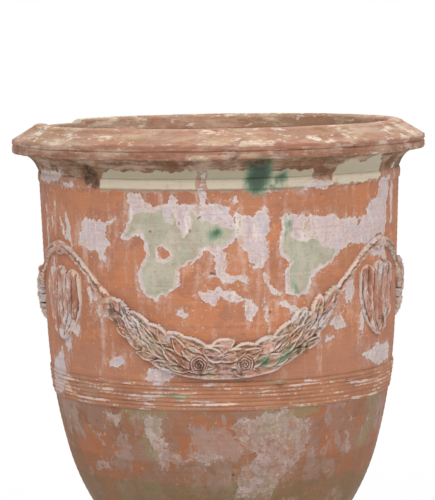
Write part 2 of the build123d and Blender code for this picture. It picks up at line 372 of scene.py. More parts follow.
def slip_left(azimuth, height):
    """Distance in mm inside the areas where the pale slip shows, also round the glaze. Three spots over the
    right medallion are slip and painted highlight.
    """
    outlines = (
        ((-29.5, 750), (-25, 742), (-20, 724), (-26, 716), (-29, 700), (-28.5, 722)),
        ((-17, 729), (-14.3, 729), (-14.6, 702), (-16.4, 702)),
        ((-13.3, 729), (-8.6, 729), (-8.6, 700), (-10.6, 678), (-13, 700)),
        ((-8.5, 729), (3.5, 732), (4, 700), (-1, 698), (-5.5, 704), (-8, 716)),
        (
            (5.2, 734), (6.2, 711), (11, 709), (12.4, 724), (14.7, 723), (15, 678), (14.4, 641),
            (13.4, 619), (10.2, 629), (8, 649), (5.6, 667), (4.6, 691),
        ),
        ((12.6, 622), (13.4, 600), (17.5, 584), (18.7, 586), (15, 602), (14, 620)),
        (
            (-6, 664), (1.2, 664), (1.5, 640), (3, 622), (8, 611), (8.5, 600), (3, 604), (-3, 611),
            (-6, 603), (-7, 611), (-2, 622), (-2.5, 648),
        ),
        ((-6.5, 590), (-3, 595), (0, 596), (4, 592), (7, 578), (5, 569), (1, 582), (-2, 565), (-5, 576)),
        (
            (-47, 711), (-43, 702), (-37.5, 702), (-33, 704), (-37, 694), (-37, 677), (-35.5, 666),
            (-38.5, 652), (-37, 638), (-40.5, 632), (-42, 646), (-45.5, 655), (-49, 661), (-48, 687),
        ),
        ((-61, 718), (-59.5, 718), (-58, 690), (-55, 662), (-56.5, 660), (-59.5, 684)),
        ((-57, 712), (-55.4, 712), (-54, 690), (-52.5, 660), (-56, 660), (-56.5, 690)),
        (
            (19, 705), (21, 711), (27.4, 708), (36, 707), (44.5, 698), (52, 702), (53.5, 721),
            (58.5, 731), (60, 760), (67, 760), (66, 709), (65, 664), (58, 663), (53, 652),
            (46, 659), (43, 655), (39, 648), (34, 657), (28, 665), (22, 672), (19, 652),
        ),
        ((52.5, 640), (58, 655), (64, 648), (67, 622), (60, 630), (55, 634)),
        ((-75, 776), (-57, 776), (-58, 762), (-68, 758), (-76, 764)),
        ((-74, 455), (-64, 480), (-62, 440), (-66, 405), (-76, 400)),
        ((-43, 385), (-36, 389), (-37, 366), (-43, 366)),
        ((-29, 388), (-20, 388), (-21, 352), (-19, 330), (-12, 312), (-20, 306), (-23, 290), (-25, 330)),
        ((-24, 469), (-17, 466), (-15, 452), (-19, 440), (-25, 444)),
        (
            (4, 378), (14, 396), (22, 392), (31, 366), (31, 330), (26, 300), (18, 250), (4, 246),
            (6, 300), (12, 322), (5, 340),
        ),
        ((-12, 322), (-4, 330), (0, 318), (-7, 306)),
        ((-52, 300), (-44, 304), (-45, 286), (-54, 286)),
        ((52, 470), (62, 486), (72, 476), (74, 452), (62, 446)),
    )
    area = glaze_left(azimuth, height) + 6.0
    for outline in outlines:
        area = np.maximum(area, inside(azimuth, height, outline))
    spots = (
        (-11.0, 551, 14, 5, -30), (-42, 560, 4, 16, 12), (-40, 540, 4, 13, -30), (-45, 575, 3, 14, 5),
        (-36, 472, 16, 7, 10), (44.5, 576, 11, 19, -14), (40, 531, 14, 10, 20), (36, 504, 10, 5, 0),
        (14.5, 750, 15, 5, 0), (31, 757, 36, 6, 0), (-5, 750, 6, 22, 0), (-52, 758, 20, 5, 0),
        (-18, 748, 4, 8, 0), (-14.5, 737, 5, 9, 0), (4.6, 741, 3, 9, 0), (9, 560, 9, 18, 0),
        # The spots at 51, 60 and 64 degrees lie over the right medallion's ribs: slip and painted highlight.
        (51, 526, 7, 20, 0), (-88, 582, 24, 40, 0), (-71, 690, 3, 22, 0), (70, 720, 6, 40, 0),
        (60, 607, 5, 12, 0), (64, 536, 5, 26, 0), (-55, 528, 16, 20, 20),
        (-59, 500, 9, 16, 0), (-66, 610, 4, 20, 5), (33, 540, 22, 6, 30), (-27, 538, 16, 7, -35),
        (14, 548, 4, 22, 8), (22, 560, 22, 8, -25), (-66, 700, 3, 24, 0), (-63, 722, 3, 16, 0),
    )
    for degrees, mm, wide, high, turn in spots:
        area = np.maximum(area, blot(azimuth, height, (degrees, mm), (wide, high), turn))
    hole = blot(azimuth, height, (-17.6, 651), (10.0, 11.0))
    bare = blot(azimuth, height, (48.5, 694), (6, 5))
    return np.minimum(area, -np.maximum(hole, bare))


def green_left(azimuth, height):
    """Distance in mm inside the copper-green runs and spots."""
    spots = (
        (-1.2, 684, 15, 13, 0), (21.4, 694, 8, 12, 0), (20.5, 676, 4, 12, 0), (11.8, 775, 25, 36, 0),
        (18.9, 770, 14, 18, 0), (14.2, 758, 32, 7, 0),
        (17, 440, 24, 4, 0), (5, 443, 12, 3, 0), (24.5, 590, 10, 5, -40),
        (13.2, 478, 13, 10, 15), (20.3, 489, 8, 13, -25), (17.5, 481, 26, 6, 20), (-15, 420, 26, 5, 0),
    )
    area = np.full(np.shape(azimuth + height), -60.0)
    for degrees, mm, wide, high, turn in spots:
        area = np.maximum(area, blot(azimuth, height, (degrees, mm), (wide, high), turn))
    return area


def cream_left(azimuth, height):
    """Distance in mm inside the cream glaze kept on the bead and low on the hollow moulding."""
    left = ((-38.5, 750), (-38, 783), (-7, 784), (-6.6, 750))
    middle = ((-3.4, 750), (-3.8, 784), (29, 783), (29.5, 762), (25, 750))
    right = ((36, 757), (37, 780), (42, 799), (47, 789), (52, 802), (58, 790), (60, 762), (50, 756))
    area = np.maximum(inside(azimuth, height, left), inside(azimuth, height, middle))
    return np.maximum(area, inside(azimuth, height, right))


def dark_left(azimuth, height):
    """Distance in mm inside the dark scars and soot-brown marks, and a painted shade in the crevice at the
    right medallion's foot.
    """
    spots = (
        (-42.5, 776, 15, 17, -8), (-40.5, 762, 10, 10, 0), (4.6, 806, 7, 4, 0), (11, 796, 24, 7, 0),
        (-34.6, 556, 8, 4, -55), (-33, 539, 9, 4, -50), (27, 497, 3, 9, 20), (-6.8, 470, 3, 12, 20),
        (5.6, 470, 2, 13, 10), (24, 492, 3, 12, -20), (18.5, 437, 12, 2.4, 0), (-47, 370, 4, 3, 0),
        # The spot at azimuth 61, height 524 is painted shade in the crevice where the right medallion's ribs
        # meet its husk.
        (61, 524, 6, 8, 0),
    )
    area = np.full(np.shape(azimuth), -60.0)
    for degrees, mm, wide, high, turn in spots:
        area = np.maximum(area, blot(azimuth, height, (degrees, mm), (wide, high), turn))
    return area


def coats(azimuth, height):
    """The layers left on the clay at each point: fields of slip, glaze, green, cream and dark, in cm.

    The front third is placed one by one. The two thirds behind it, each on its own swag, wear
    the same kinds of patches mirrored, moved up or down and bent: sines of the height move a
    point sideways, and sines of the azimuth move it up, 4.5 times as far as they do in front.
    """
    azimuth = np.asarray(azimuth + np.zeros(np.shape(height)), float)
    height = np.asarray(height + np.zeros(azimuth.shape), float)
    turn = (azimuth + 180.0) % 360.0 - 180.0
    views = ((0.0, 1.0, 0.0), (128.0, -1.0, 22.0), (-124.0, -1.0, -24.0), (180.0, 1.0, 60.0))
    fields = {}
    layers = (
        ("slip", slip_left),
        ("glaze", glaze_left),
        ("green", green_left),
        ("cream", cream_left),
        ("dark", dark_left),
    )
    for name, layer in layers:
        area = np.full(turn.shape, -60.0)
        for centre, side, rise in views:
            local = side * ((turn - centre + 180.0) % 360.0 - 180.0)
            if centre == 0.0:
                swing = 1.0
                near = np.abs(local) < 96.0
            else:
                swing = 4.5
                near = (np.abs(local) < 84.0) & (np.abs(turn) > 84.0)
            if near.any():
                x = local[near]
                y = height[near]
                sideways = 0.30 * np.sin(y / 7.0 + centre) + 0.16 * np.sin(y / 2.9)
                upwards = 1.6 * np.sin(x * 0.8 + centre) + 1.0 * np.sin(x * 2.1)
                spots = layer(x + swing * sideways, y - rise + swing * upwards)
                area[near] = np.maximum(area[near], spots)
        fields[name] = np.clip(area, -60.0, 60.0) / 10.0
    return fields


def mesh_piece(name, points, faces, fields):
    """A smooth mesh object from points in mm and quads, with a float attribute for each field."""
    mesh = bpy.data.meshes.new(name)
    mesh.vertices.add(len(points))
    mesh.vertices.foreach_set("co", (points * 0.001).astype(np.float32).ravel())
    mesh.loops.add(faces.size)
    mesh.loops.foreach_set("vertex_index", faces.astype(np.int32).ravel())
    mesh.polygons.add(len(faces))
    mesh.polygons.foreach_set("loop_start", np.arange(0, faces.size, 4, dtype=np.int32))
    mesh.polygons.foreach_set("use_smooth", np.ones(len(faces), bool))
    mesh.update(calc_edges=True)
    mesh.validate()
    for key, values in fields.items():
        attribute = mesh.attributes.new(key, "FLOAT", "POINT")
        attribute.data.foreach_set("value", np.asarray(values, np.float32).ravel())
    piece = bpy.data.objects.new(name, mesh)
    bpy.context.scene.collection.objects.link(piece)
    return piece


def blurred(field, times, axes):
    """Each point taken as a quarter of its two neighbours and half of itself, over and over."""
    for _ in range(times):
        for axis in axes:
            field = (np.roll(field, 1, axis) + 2 * field + np.roll(field, -1, axis)) / 4
    return field


def turned(name, outline, columns, shape, joins=(foot_join, bowl_join, rim_join)):
    """A closed ring: an anticlockwise (radius, height) outline turned about the upright axis.

    x = r sin a, y = -r cos a, z = h. shape(azimuth, r, h, outward) changes the radius and the
    height of each point, where outward is the outline's own direction (dz, -dr) / |d|.
    The field called crest is how far a point stands out of its smoothed neighbours, in mm. It
    is nought on faces that look inwards, and near the heights of joins, where the piece meets
    its neighbour.
    """
    ahead = np.roll(outline, -1, axis=0) - np.roll(outline, 1, axis=0)
    outward = np.stack([ahead[:, 1], -ahead[:, 0]], axis=1)
    outward /= np.linalg.norm(outward, axis=1)[:, None]
    azimuth = np.arange(columns) * 360.0 / columns - 180.0
    radius = outline[:, 0][:, None] + np.zeros(columns)
    height = outline[:, 1][:, None] + np.zeros(columns)
    degrees = azimuth[None, :] + np.zeros(radius.shape)
    radius, height = shape(degrees, radius, height, outward[:, :, None])
    aside = outward[:, 0][:, None]
    upward = outward[:, 1][:, None]
    crest = (radius - blurred(radius, 5, (0,))) * aside + (height - blurred(height, 5, (0,))) * upward
    crest = crest * smooth_step(-0.7, -0.2, aside)
    for join in joins:
        crest = crest * smooth_step(3.0, 8.0, np.abs(height - join))
    turn = np.radians(degrees)
    points = np.stack([radius * np.sin(turn), -radius * np.cos(turn), height], axis=-1)
    index = np.arange(radius.size).reshape(radius.shape)
    beside = np.roll(index, -1, axis=1)
    above = np.roll(index, -1, axis=0)
    faces = np.stack([index, beside, np.roll(above, -1, axis=1), above], axis=-1).reshape(-1, 4)
    outer = outward[:, 0] > -0.3
    fields = {}
    for key, values in coats(degrees[outer], height[outer]).items():
        fields[key] = np.full(degrees.shape, -6.0)
        fields[key][outer] = values
    fields["crest"] = crest
    return mesh_piece(name, points.reshape(-1, 3), faces, fields)


def linear(code):
    """The linear colour of a hex code such as C07A5A."""
    parts = [int(code[at:at + 2], 16) / 255.0 for at in (0, 2, 4)]
    light = [part / 12.92 if part <= 0.04045 else ((part + 0.055) / 1.055) ** 2.4 for part in parts]
    return (*light, 1.0)


def weathered(name, clay, clay_dark, slip_more=0.0, glaze_more=0.0, brown=0.0, hollows=0.0, edges=0.0,
              wash_share=0.5, wash_tint="CDB4A8", rings=1.0, run=(5.0, 5.0, 0.7), bands=(), mottle=(),
              fray=1.6, thin=0.0, bumpy=0.0024, chalk_and_highlight_lines=0.0, slip_tints=("B9A9AC", "D0C3C2"), smear=1.0):
    """Red clay under what is left of a slip, a glaze, green runs, grime and chalky edges, with
    painted shade in its hollows and painted highlight on its crests.

    Each layer is where its field, in cm, plus ragged noise passes nought: slip_more and
    glaze_more add to the fields. brown is the share of brown staining, hollows of grime and
    painted shade in hollows, edges of chalky paleness and painted highlight on crests,
    wash_share of thin wash, and rings of the fine rings that the potter's fingers left. run
    stretches the wash. bands are (from, to, colour, share) over heights in metres, and mottle is
    (scale, threshold, stretch, colour, share) of patches of noise. fray is how ragged the edges of
    the layers are, in cm, and thin how thin the slip is. slip_tints are the slip's darker and
    lighter colours. smear under 1 draws ragged edges out sideways. bumpy is the depth of the bump
    in metres, and chalk_and_highlight_lines how far long streaks break up the pale crests. The cream gets
    painted shade over the bead's top and a painted shadow along its lower edge.
    """
    shade = Shade(bpy.data.materials.new(name))
    height = Wire(shade, shade.node("ShaderNodeSeparateXYZ", {}, {0: shade.place}).outputs[2])
    broad = shade.noise(7.0, 4.0, 0.6)
    middle = shade.noise(28.0, 4.0, 0.6, shift=3.0)
    fine = shade.noise(150.0, 4.0, 0.65, shift=7.0)
    grain = shade.noise(620.0, 2.0, 0.6, shift=1.0)
    ragged = shade.noise(85.0, 5.0, 0.7, stretch=(smear, smear, 1.0), shift=5.0)
    streak = shade.noise(14.0, 4.0, 0.62, stretch=run, shift=2.0)
    ring = shade.noise(9.0, 4.0, 0.65, stretch=(1.0, 1.0, 42.0), shift=9.0)
    crest = shade.field("crest")
    slip = shade.field("slip")
    glaze = shade.field("glaze")
    green = shade.field("green")
    dark = shade.field("dark")

    colour = shade.blend((broad * 0.6 + middle * 0.5).step(0.42, 0.68), linear(clay), linear(clay_dark))
    for number, (scale, threshold, stretch, tint, share) in enumerate(mottle):
        spot = shade.noise(scale, 7.0, 0.7, stretch=stretch, shift=21.0 + 3.0 * number)
        spot = spot.step(threshold, threshold + 0.03) * (0.7 + ragged.step(0.4, 0.6) * 0.3)
        colour = shade.blend(spot * share, colour, linear(tint))
    for low, high, tint, share in bands:
        edge_height = height + (ragged - 0.5) * 0.006 + (broad - 0.5) * 0.01
        over_low = edge_height.step(low - 0.002, low + 0.002)
        under_high = 1.0 - edge_height.step(high - 0.002, high + 0.002)
        patchy = 0.55 + middle.step(0.35, 0.6) * 0.45
        colour = shade.blend(over_low * under_high * patchy * share, colour, linear(tint))
    colour = shade.blend(ring.step(0.5, 0.75) * 0.3 * rings, colour, linear("CC9678"))
    colour = shade.blend(ring.step(0.5, 0.3) * 0.3 * rings, colour, linear("9A644A"))
    colour = shade.blend(fine.step(0.5, 0.7) * 0.28, colour, linear("A56B52"))
    colour = shade.blend(grain.step(0.55, 0.7) * 0.12, colour, linear("DDB49A"))
    staining = (broad + 0.5 * streak + (brown - 1.1)).step(0.0, 0.35)
    stain = shade.blend(middle.step(0.4, 0.62), linear("84694F"), linear("A08169"))
    colour = shade.blend(staining * 0.75, colour, stain)
    olive = (shade.noise(11.0, 5.0, 0.65, shift=12.0) + (brown * 0.5 - 0.83)).step(0.0, 0.12)
    colour = shade.blend(olive * 0.55, colour, linear("85805A"))

    near_slip = slip.step(-2.2, 0.0)
    wash = (streak + 0.6 * ragged + 0.13 * near_slip + (wash_share - 1.32)).step(0.0, 0.3)
    colour = shade.blend(wash * (0.25 + 0.45 * fine), colour, linear(wash_tint))
    flecks = shade.noise(170.0, 4.0, 0.7, shift=14.0) + near_slip * 0.075 + (wash_share - 0.5) * 0.1
    flecks = flecks.step(0.665, 0.7)
    colour = shade.blend(flecks * (0.52 - 0.3 * thin), colour, linear("D6C8C0"))

    edge = ((ragged - 0.5) * 1.1 + (middle - 0.5) * 1.2 + (fine - 0.5) * 0.6) * fray
    slip_here = slip + edge + slip_more
    slip_over = slip_here.step(-0.05, 0.06)
    worn = 1.0 - (ragged + streak * 0.7 + thin * 0.2).step(0.93, 1.08) * 0.8
    wiped = 1.0 - (ring + (fine - 0.5) * 0.8).step(0.52, 0.74) * 0.4 - thin * 0.3
    slip_over = slip_over * worn * wiped
    threads = shade.noise(60.0, 5.0, 0.72, stretch=(1.7, 1.7, 0.35), shift=19.0)
    slip_tint = shade.blend(fine.step(0.3, 0.7), linear(slip_tints[0]), linear(slip_tints[1]))
    slip_tint = shade.blend(threads.step(0.53, 0.64) * (0.6 - 0.4 * thin), slip_tint, linear("E2DAD6"))
    slip_tint = shade.blend(threads.step(0.46, 0.36) * 0.5, slip_tint, linear("A68C86"))
    slip_tint = shade.blend((broad + middle * 0.6).step(0.78, 0.9) * 0.6, slip_tint, linear("CBB6B2"))
    slip_tint = shade.blend(streak.step(0.5, 0.7) * 0.55, slip_tint, linear("D2C6B2"))
    speckle = shade.noise(300.0, 2.0, 0.6, shift=6.0).step(0.58, 0.66) * broad.step(0.4, 0.52)
    slip_tint = shade.blend(speckle * 0.6, slip_tint, linear("A07A72"))
    cold = shade.noise(24.0, 4.0, 0.65, stretch=(1.4, 1.4, 0.6), shift=23.0).step(0.54, 0.64)
    slip_tint = shade.blend(cold * (0.55 - 0.5 * thin), slip_tint, linear("B4B0BA"))
    slip_tint = shade.blend(slip_here.step(0.45, 0.05) * (0.5 - 0.5 * thin), slip_tint, linear("DBCFC4"))
    colour = shade.blend(slip_over * 0.92, colour, slip_tint)

    glaze_here = glaze + edge * 0.3 + glaze_more
    glaze_over = glaze_here.step(-0.03, 0.05)
    glaze_tint = shade.blend(middle.step(0.35, 0.65), linear("9F957F"), linear("B3AA97"))
    glaze_tint = shade.blend(streak.step(0.45, 0.62) * 0.55, glaze_tint, linear("97A088"))
    glaze_tint = shade.blend(ring.step(0.5, 0.68) * 0.4, glaze_tint, linear("BDB3A2"))
    glaze_tint = shade.blend(fine.step(0.52, 0.7) * 0.5, glaze_tint, linear("8B7C65"))
    glaze_tint = shade.blend(ragged.step(0.6, 0.7) * 0.4, glaze_tint, linear("C0A890"))
    colour = shade.blend(glaze_over * 0.95, colour, glaze_tint)
    pale_line = glaze_over * (1.0 - glaze_here.step(0.03, 0.22))
    colour = shade.blend(pale_line * 0.6, colour, linear("D8CCB8"))

    cream_over = (shade.field("cream") + edge * 0.4 + (crest * 0.1)).step(-0.05, 0.08)
    # The cream is darkened by painted shade: grey-green over the bead's top and the foot of the hollow
    # moulding under the rim, and brown along the bead's lower edge as a painted shadow.
    shade_under_bead = 1.0 - (height + (fine - 0.5) * 0.003).step(0.7535, 0.757)
    shade_over_bead = (height + (fine - 0.5) * 0.004).step(0.766, 0.775)
    cream_tint = shade.blend(ring.step(0.3, 0.8) * 0.6, linear("D3C8B2"), linear("BDB197"))
    cream_tint = shade.blend(shade_over_bead * 0.7, cream_tint, linear("A59D80"))
    cream_tint = shade.blend(shade_under_bead * 0.7, cream_tint, linear("8A6A50"))
    cream_tint = shade.blend(ragged.step(0.56, 0.66) * 0.4, cream_tint, linear("B09A80"))
    colour = shade.blend(cream_over * 0.9, colour, cream_tint)

    crest = crest.maths("MINIMUM", crest.larger(-1.1), 1.3)
    # Pale on crests, where crest is above nought: partly chalky wear and partly painted highlight.
    long_wave = (streak - 0.5) * chalk_and_highlight_lines
    chalk_and_highlight = crest * 1.7 + (ragged - 0.5) * 4.2 + (fine - 0.5) * 2.4 + (edges - 1.5) + long_wave
    chalk_and_highlight_tint = shade.blend(middle.step(0.4, 0.6), linear("D6C2AF"), linear("CDBFBD"))
    colour = shade.blend(chalk_and_highlight.step(0.0, 0.6) * 0.75, colour, chalk_and_highlight_tint)
    # Dark brown in hollows, where crest is below nought: partly grime and partly painted shade.
    dirt_and_shade = (crest * -1.7 + (ragged - 0.5) * 2.6 + (middle - 0.5) * 2.0 + (hollows - 1.3)).step(0.0, 1.1)
    colour = shade.blend(dirt_and_shade * 0.72, colour, linear("553A2C"))
    pits = shade.noise(75.0, 1.0, 0.4, shift=17.0).step(0.77, 0.8)
    colour = shade.blend(pits * 0.6, colour, linear("4A382C"))

    green_over = (green * 0.7 + (streak - 0.5) * 1.2 + (ragged - 0.5) * 1.2).step(-0.2, 0.75)
    green_tint = shade.blend((green * 0.5 + streak).step(0.4, 1.4), linear("4E8462"), linear("153D29"))
    colour = shade.blend(green_over * 0.92, colour, green_tint)
    # Dark scars, and at the right medallion's foot a painted shade in its crevice.
    scar_and_shade = (dark * 1.4 + (ragged - 0.5) * 2.0 + (fine - 0.5)).step(-0.3, 0.5)
    scar_and_shade_tint = shade.blend(fine.step(0.4, 0.6), linear("3A2A1E"), linear("6A4E3A"))
    colour = shade.blend(scar_and_shade * 0.85, colour, scar_and_shade_tint)

    shiny = glaze_over.larger(green_over).larger(cream_over)
    rough = 0.88 - shiny * 0.38 - slip_over * 0.06 + (fine - 0.5) * 0.12
    relief = (
        0.30 * slip_over + 0.26 * glaze_over + 0.24 * ring * rings + 0.14 * grain + 0.26 * ragged
        + 0.22 * middle - 0.25 * pits - 0.4 * scar_and_shade
    )
    shade.surface(colour, rough, relief, bumpy, shiny * 0.22)
    return shade.owner


def wall_shape(azimuth, radius, height, outward):
    """Moves the outside in by the unevenness, and the inside by half of it."""
    outside = outward[:, 0] > 0.5
    inset = unevenness(azimuth, height) * np.where(outside, 1.0, -0.5)
    return radius - inset, height


outer_heights = np.arange(421.0, 764.0, 3.2)
outer_radii, _ = wall_at(outer_heights)
inner_heights = np.arange(763.0, 419.0, -9.0)
inner_radii, _ = wall_at(inner_heights)
wall_outline = np.concatenate([
    np.stack([outer_radii, outer_heights], axis=1),
    np.stack([inner_radii - wall_thickness, inner_heights], axis=1),
])
upper_wall = turned("urn_upper_wall", wall_outline, 640, wall_shape)
upper_wall.data.materials.append(
    weathered(
        "clay_upper_wall", "B27859", "A66D50", wash_share=0.46, bands=((0.4, 0.5, "A57560", 0.5),),
        rings=0.6,
        mottle=(
            (6.0, 0.5, (1.0, 1.0, 1.4), "9C6854", 0.6),
            (9.0, 0.54, (1.0, 1.0, 1.6), "BC7850", 0.75),
            (12.0, 0.57, (1.0, 1.0, 1.4), "94604C", 0.5),
            (10.0, 0.6, (1.0, 1.0, 1.0), "B08C7C", 0.55),
        ),
    )
)
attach(upper_wall, "root")
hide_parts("upper_wall")


# Lower bowl
# The rounded lower part with its thick floor and one drain hole, thrown first and joined to the
# wall under the reeds. It kept little glaze, and damp earth has stained it brown and pink. It
# darkens towards the bottom, partly by that stain and partly by painted shade.

bowl_heights = np.linspace(foot_join, 421.0, 104)
bowl_radii, _ = wall_at(bowl_heights)
well_heights = np.linspace(421.0, 150.0, 34)
well_radii, well_leans = wall_at(well_heights)
bowl_outline = np.concatenate([
    np.linspace((18.0, foot_join), (bowl_radii[0], foot_join), 26),
    np.stack([bowl_radii, bowl_heights], axis=1),
    np.stack([well_radii - wall_thickness / np.cos(well_leans), well_heights], axis=1),
    np.array([(124.0, 142.0), (110.0, 138.0), (90.0, 136.3), (65.0, 136.0), (40.0, 136.0)]),
    np.array([(22.0, 135.6), (18.6, 134.0), (18.0, 130.0), (18.0, 120.0)]),
])
lower_bowl = turned("urn_bowl", bowl_outline, 560, wall_shape)
lower_bowl.data.materials.append(
    weathered(
        # Darker clay than the wall, and two bands darker still towards the bottom: partly stain and partly
        # painted shade.
        "clay_bowl", "94664A", "825A44", brown=0.3, slip_more=-0.1, wash_share=0.42, hollows=0.3,
        wash_tint="A48678", fray=2.3, thin=0.6, rings=0.25, slip_tints=("967F76", "AD978D"),
        bands=((0.05, 0.31, "765A42", 0.5), (0.05, 0.27, "6A6142", 0.45)),
        mottle=(
            (7.0, 0.48, (1.0, 1.0, 0.7), "8C6C5E", 0.9),
            (10.0, 0.52, (1.0, 1.0, 0.8), "A0603F", 0.9),
            (9.0, 0.545, (1.0, 1.0, 1.0), "857C5C", 0.85),
            (13.0, 0.54, (1.0, 1.0, 0.6), "9A8177", 0.9),
            (20.0, 0.56, (1.0, 1.0, 0.9), "8E624C", 0.85),
            (30.0, 0.6, (1.0, 1.0, 1.0), "AE988E", 0.8),
        ),
    )
)
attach(lower_bowl, "root")
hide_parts("bowl")


# Rim
# A heavy moulded rim, turned with a template: a hollow moulding under two flat rolls with a
# groove between them, a sloping top and a rounded lip, which is broken away at the back left.


def rim_shape(azimuth, radius, height, outward):
    """Worn and chipped: small dents on the rolls and the lip, and one piece lost from the lip.

    Each dent is depth exp(-((a - a0) / width)^2), and the loss lowers the lip by up to 9 mm
    between azimuths -126 and -92.
    """
    turn = np.radians(azimuth)
    edge = smooth_step(336.0, 348.0, radius)
    wear = 0.5 + 0.3 * np.sin(9 * turn + 1.0) * np.sin(4 * turn) + 0.25 * np.sin(23 * turn + height)
    dents = (
        (-71, 1.1, 2.6), (-44, 0.7, 1.8), (-23, 0.9, 1.5), (4.6, 0.5, 2.2), (17, 0.8, 1.6), (39, 1.0, 2.4),
        (58, 0.8, 2.0), (83, 1.2, 3.0), (110, 1.5, 2.5), (147, 0.9, 2.6), (-100, 1.4, 2.2), (-151, 1.0, 3.0),
    )
    for at, width, depth in dents:
        apart = (azimuth - at + 180.0) % 360.0 - 180.0
        wear = wear + depth * np.exp(-((apart / width) ** 2))
    radius = radius - edge * np.clip(wear, 0.05, 3.5)
    lip = smooth_step(843.0, 847.0, height)
    lost = smooth_step(-126.0, -123.5, azimuth) * (1.0 - smooth_step(-99.0, -92.0, azimuth))
    worn = 0.3 + 0.5 * np.abs(np.sin(11 * turn + 0.4) * np.sin(5 * turn))
    height = height - lip * (worn + 9.0 * lost * (0.85 + 0.15 * np.sin(40 * turn)))
    below = (outward[:, 0] > 0.2) & (height < 835.0) & (radius < 345.0)
    radius = radius - np.where(below, 0.6 * unevenness(azimuth, height), 0.0)
    return radius, height


cavetto_turns = np.linspace(0.0, 1.0, 26)
cavetto = np.stack([
    305.5 + 31.0 * cavetto_turns - 5.5 * np.sin(math.pi * cavetto_turns) * 0.75,
    771.0 + 32.0 * cavetto_turns + 5.5 * np.sin(math.pi * cavetto_turns) * 0.75,
], axis=1)
roll_turns = np.linspace(0.0, math.pi, 11)
lower_roll = np.stack([348.4 + 1.5 * np.sin(roll_turns), 809.0 - 6.0 * np.cos(roll_turns)], axis=1)
upper_roll = np.stack([348.4 + 1.5 * np.sin(roll_turns), 820.8 - 4.0 * np.cos(roll_turns)], axis=1)
lip_turns = np.linspace(0.0, math.pi, 19)
lip = np.stack([300.9 + 13.5 * np.cos(lip_turns), 844.8 + 6.0 * np.sin(lip_turns)], axis=1)
rim_outline = np.concatenate([
    np.linspace((282.0, 763.0), (305.2, 763.0), 4, endpoint=False),
    np.linspace((305.2, 763.0), (305.38, 767.8), 4),
    cavetto,
    np.array([(339.0, 803.0), (342.0, 803.0), (345.0, 803.0), (347.4, 803.0)]),
    lower_roll,
    np.array([(347.3, 815.9)]),
    upper_roll,
    np.linspace((347.6, 825.4), (318.528, 842.788), 24),
    lip,
    np.linspace((287.2, 843.0), (280.4, 766.0), 20, endpoint=False),
    np.array([(280.2, 762.6)]),
])
rim = turned("urn_rim", rim_outline, 720, rim_shape)
rim.data.materials.append(
    weathered(
        "clay_rim", "AE8068", "947060", brown=0.3, slip_more=0.15, wash_share=0.58, hollows=0.25, edges=0.4,
        wash_tint="CDB9A2", run=(0.8, 0.8, 5.0), rings=0.6, fray=2.0, smear=0.5,
        mottle=(
            (10.0, 0.5, (1.0, 1.0, 4.0), "A06C56", 0.8),
            (9.0, 0.53, (1.0, 1.0, 3.0), "8E7254", 0.85),
            (8.0, 0.55, (1.0, 1.0, 5.0), "C4AC8E", 0.5),
            (16.0, 0.57, (1.0, 1.0, 4.0), "8A5A4A", 0.8),
            (22.0, 0.565, (0.7, 0.7, 3.0), "DED0BC", 0.95),
            (30.0, 0.6, (0.8, 0.8, 2.5), "7E5A44", 0.7),
            (38.0, 0.58, (0.6, 0.6, 2.0), "DACDC6", 0.95),
        ),
        bands=(
            # The first band is painted shade: dark brown over the hollow moulding under the rim's overhang.
            (0.7, 0.8035, "68462C", 1.0),
            (0.8035, 0.8158, "7E5240", 0.85),
            (0.8158, 0.8262, "865848", 0.75),
            (0.8262, 0.9, "B89C7E", 0.2),
        ),
    )
)
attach(rim, "root")
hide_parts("rim")


# Neck bead
# A small half-round cordon laid under the rim, still cream with glaze round most of the front,
# broken at the left and by a green run and a bare strip.


def bead_shape(azimuth, radius, height, outward):
    """Follows the wall in and out, and is worn away by up to 2 mm in places."""
    turn = np.radians(azimuth)
    gap = smooth_step(-45.5, -43.0, azimuth) * (1.0 - smooth_step(-40.0, -38.0, azimuth))
    left = (1.0 - smooth_step(-46.0, -42.0, azimuth)) * smooth_step(-96.0, -84.0, azimuth)
    worn = 0.4 * unevenness(azimuth, height) + 0.25 * np.sin(17 * turn) * np.sin(6 * turn)
    worn = worn + 1.6 * gap + 0.9 * left
    return radius - np.where(outward[:, 0] > 0.3, worn, 0.0), height


bead_turns = np.linspace(0.0, math.pi, 19)
bead_outline = np.concatenate([
    np.stack([304.6 + 3.2 * np.sin(bead_turns) ** 0.7, rim_join - 9.3 * np.cos(bead_turns)], axis=1),
    np.array([(300.0, 771.0), (300.0, 762.0), (300.0, 753.0)]),
])
neck_bead = turned("urn_neck_bead", bead_outline, 640, bead_shape, joins=())
neck_bead.data.materials.append(
    weathered("glaze_neck_bead", "AE7C60", "9A6C52", brown=0.25, wash_share=0.55, hollows=0.4)
)
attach(neck_bead, "root")
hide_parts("neck_bead")


# Reeded band
# Seven narrow reeds run with a comb over the join of the bowl and the wall. Their crests are
# pale, partly rubbed and partly painted highlight, and here and there a reed is nearly gone.


reed_foot = 396.9
reed_pitch = 6.6


def band_shape(azimuth, radius, height, outward):
    """Flattens each reed by its own slow wave, and follows the wall in and out."""
    turn = np.radians(azimuth)
    number = np.floor((height - reed_foot) / reed_pitch)
    worn = 0.9 + 0.9 * np.sin(3 * turn + 2.1 * number) * np.sin(7 * turn - 1.3 * number)
    here = outward[:, 0] > 0.2
    base, _ = wall_at(height)
    above = np.maximum(radius - base, 0.0)
    return radius - np.where(here, unevenness(azimuth, height) + 0.25 * above * worn, 0.0), height


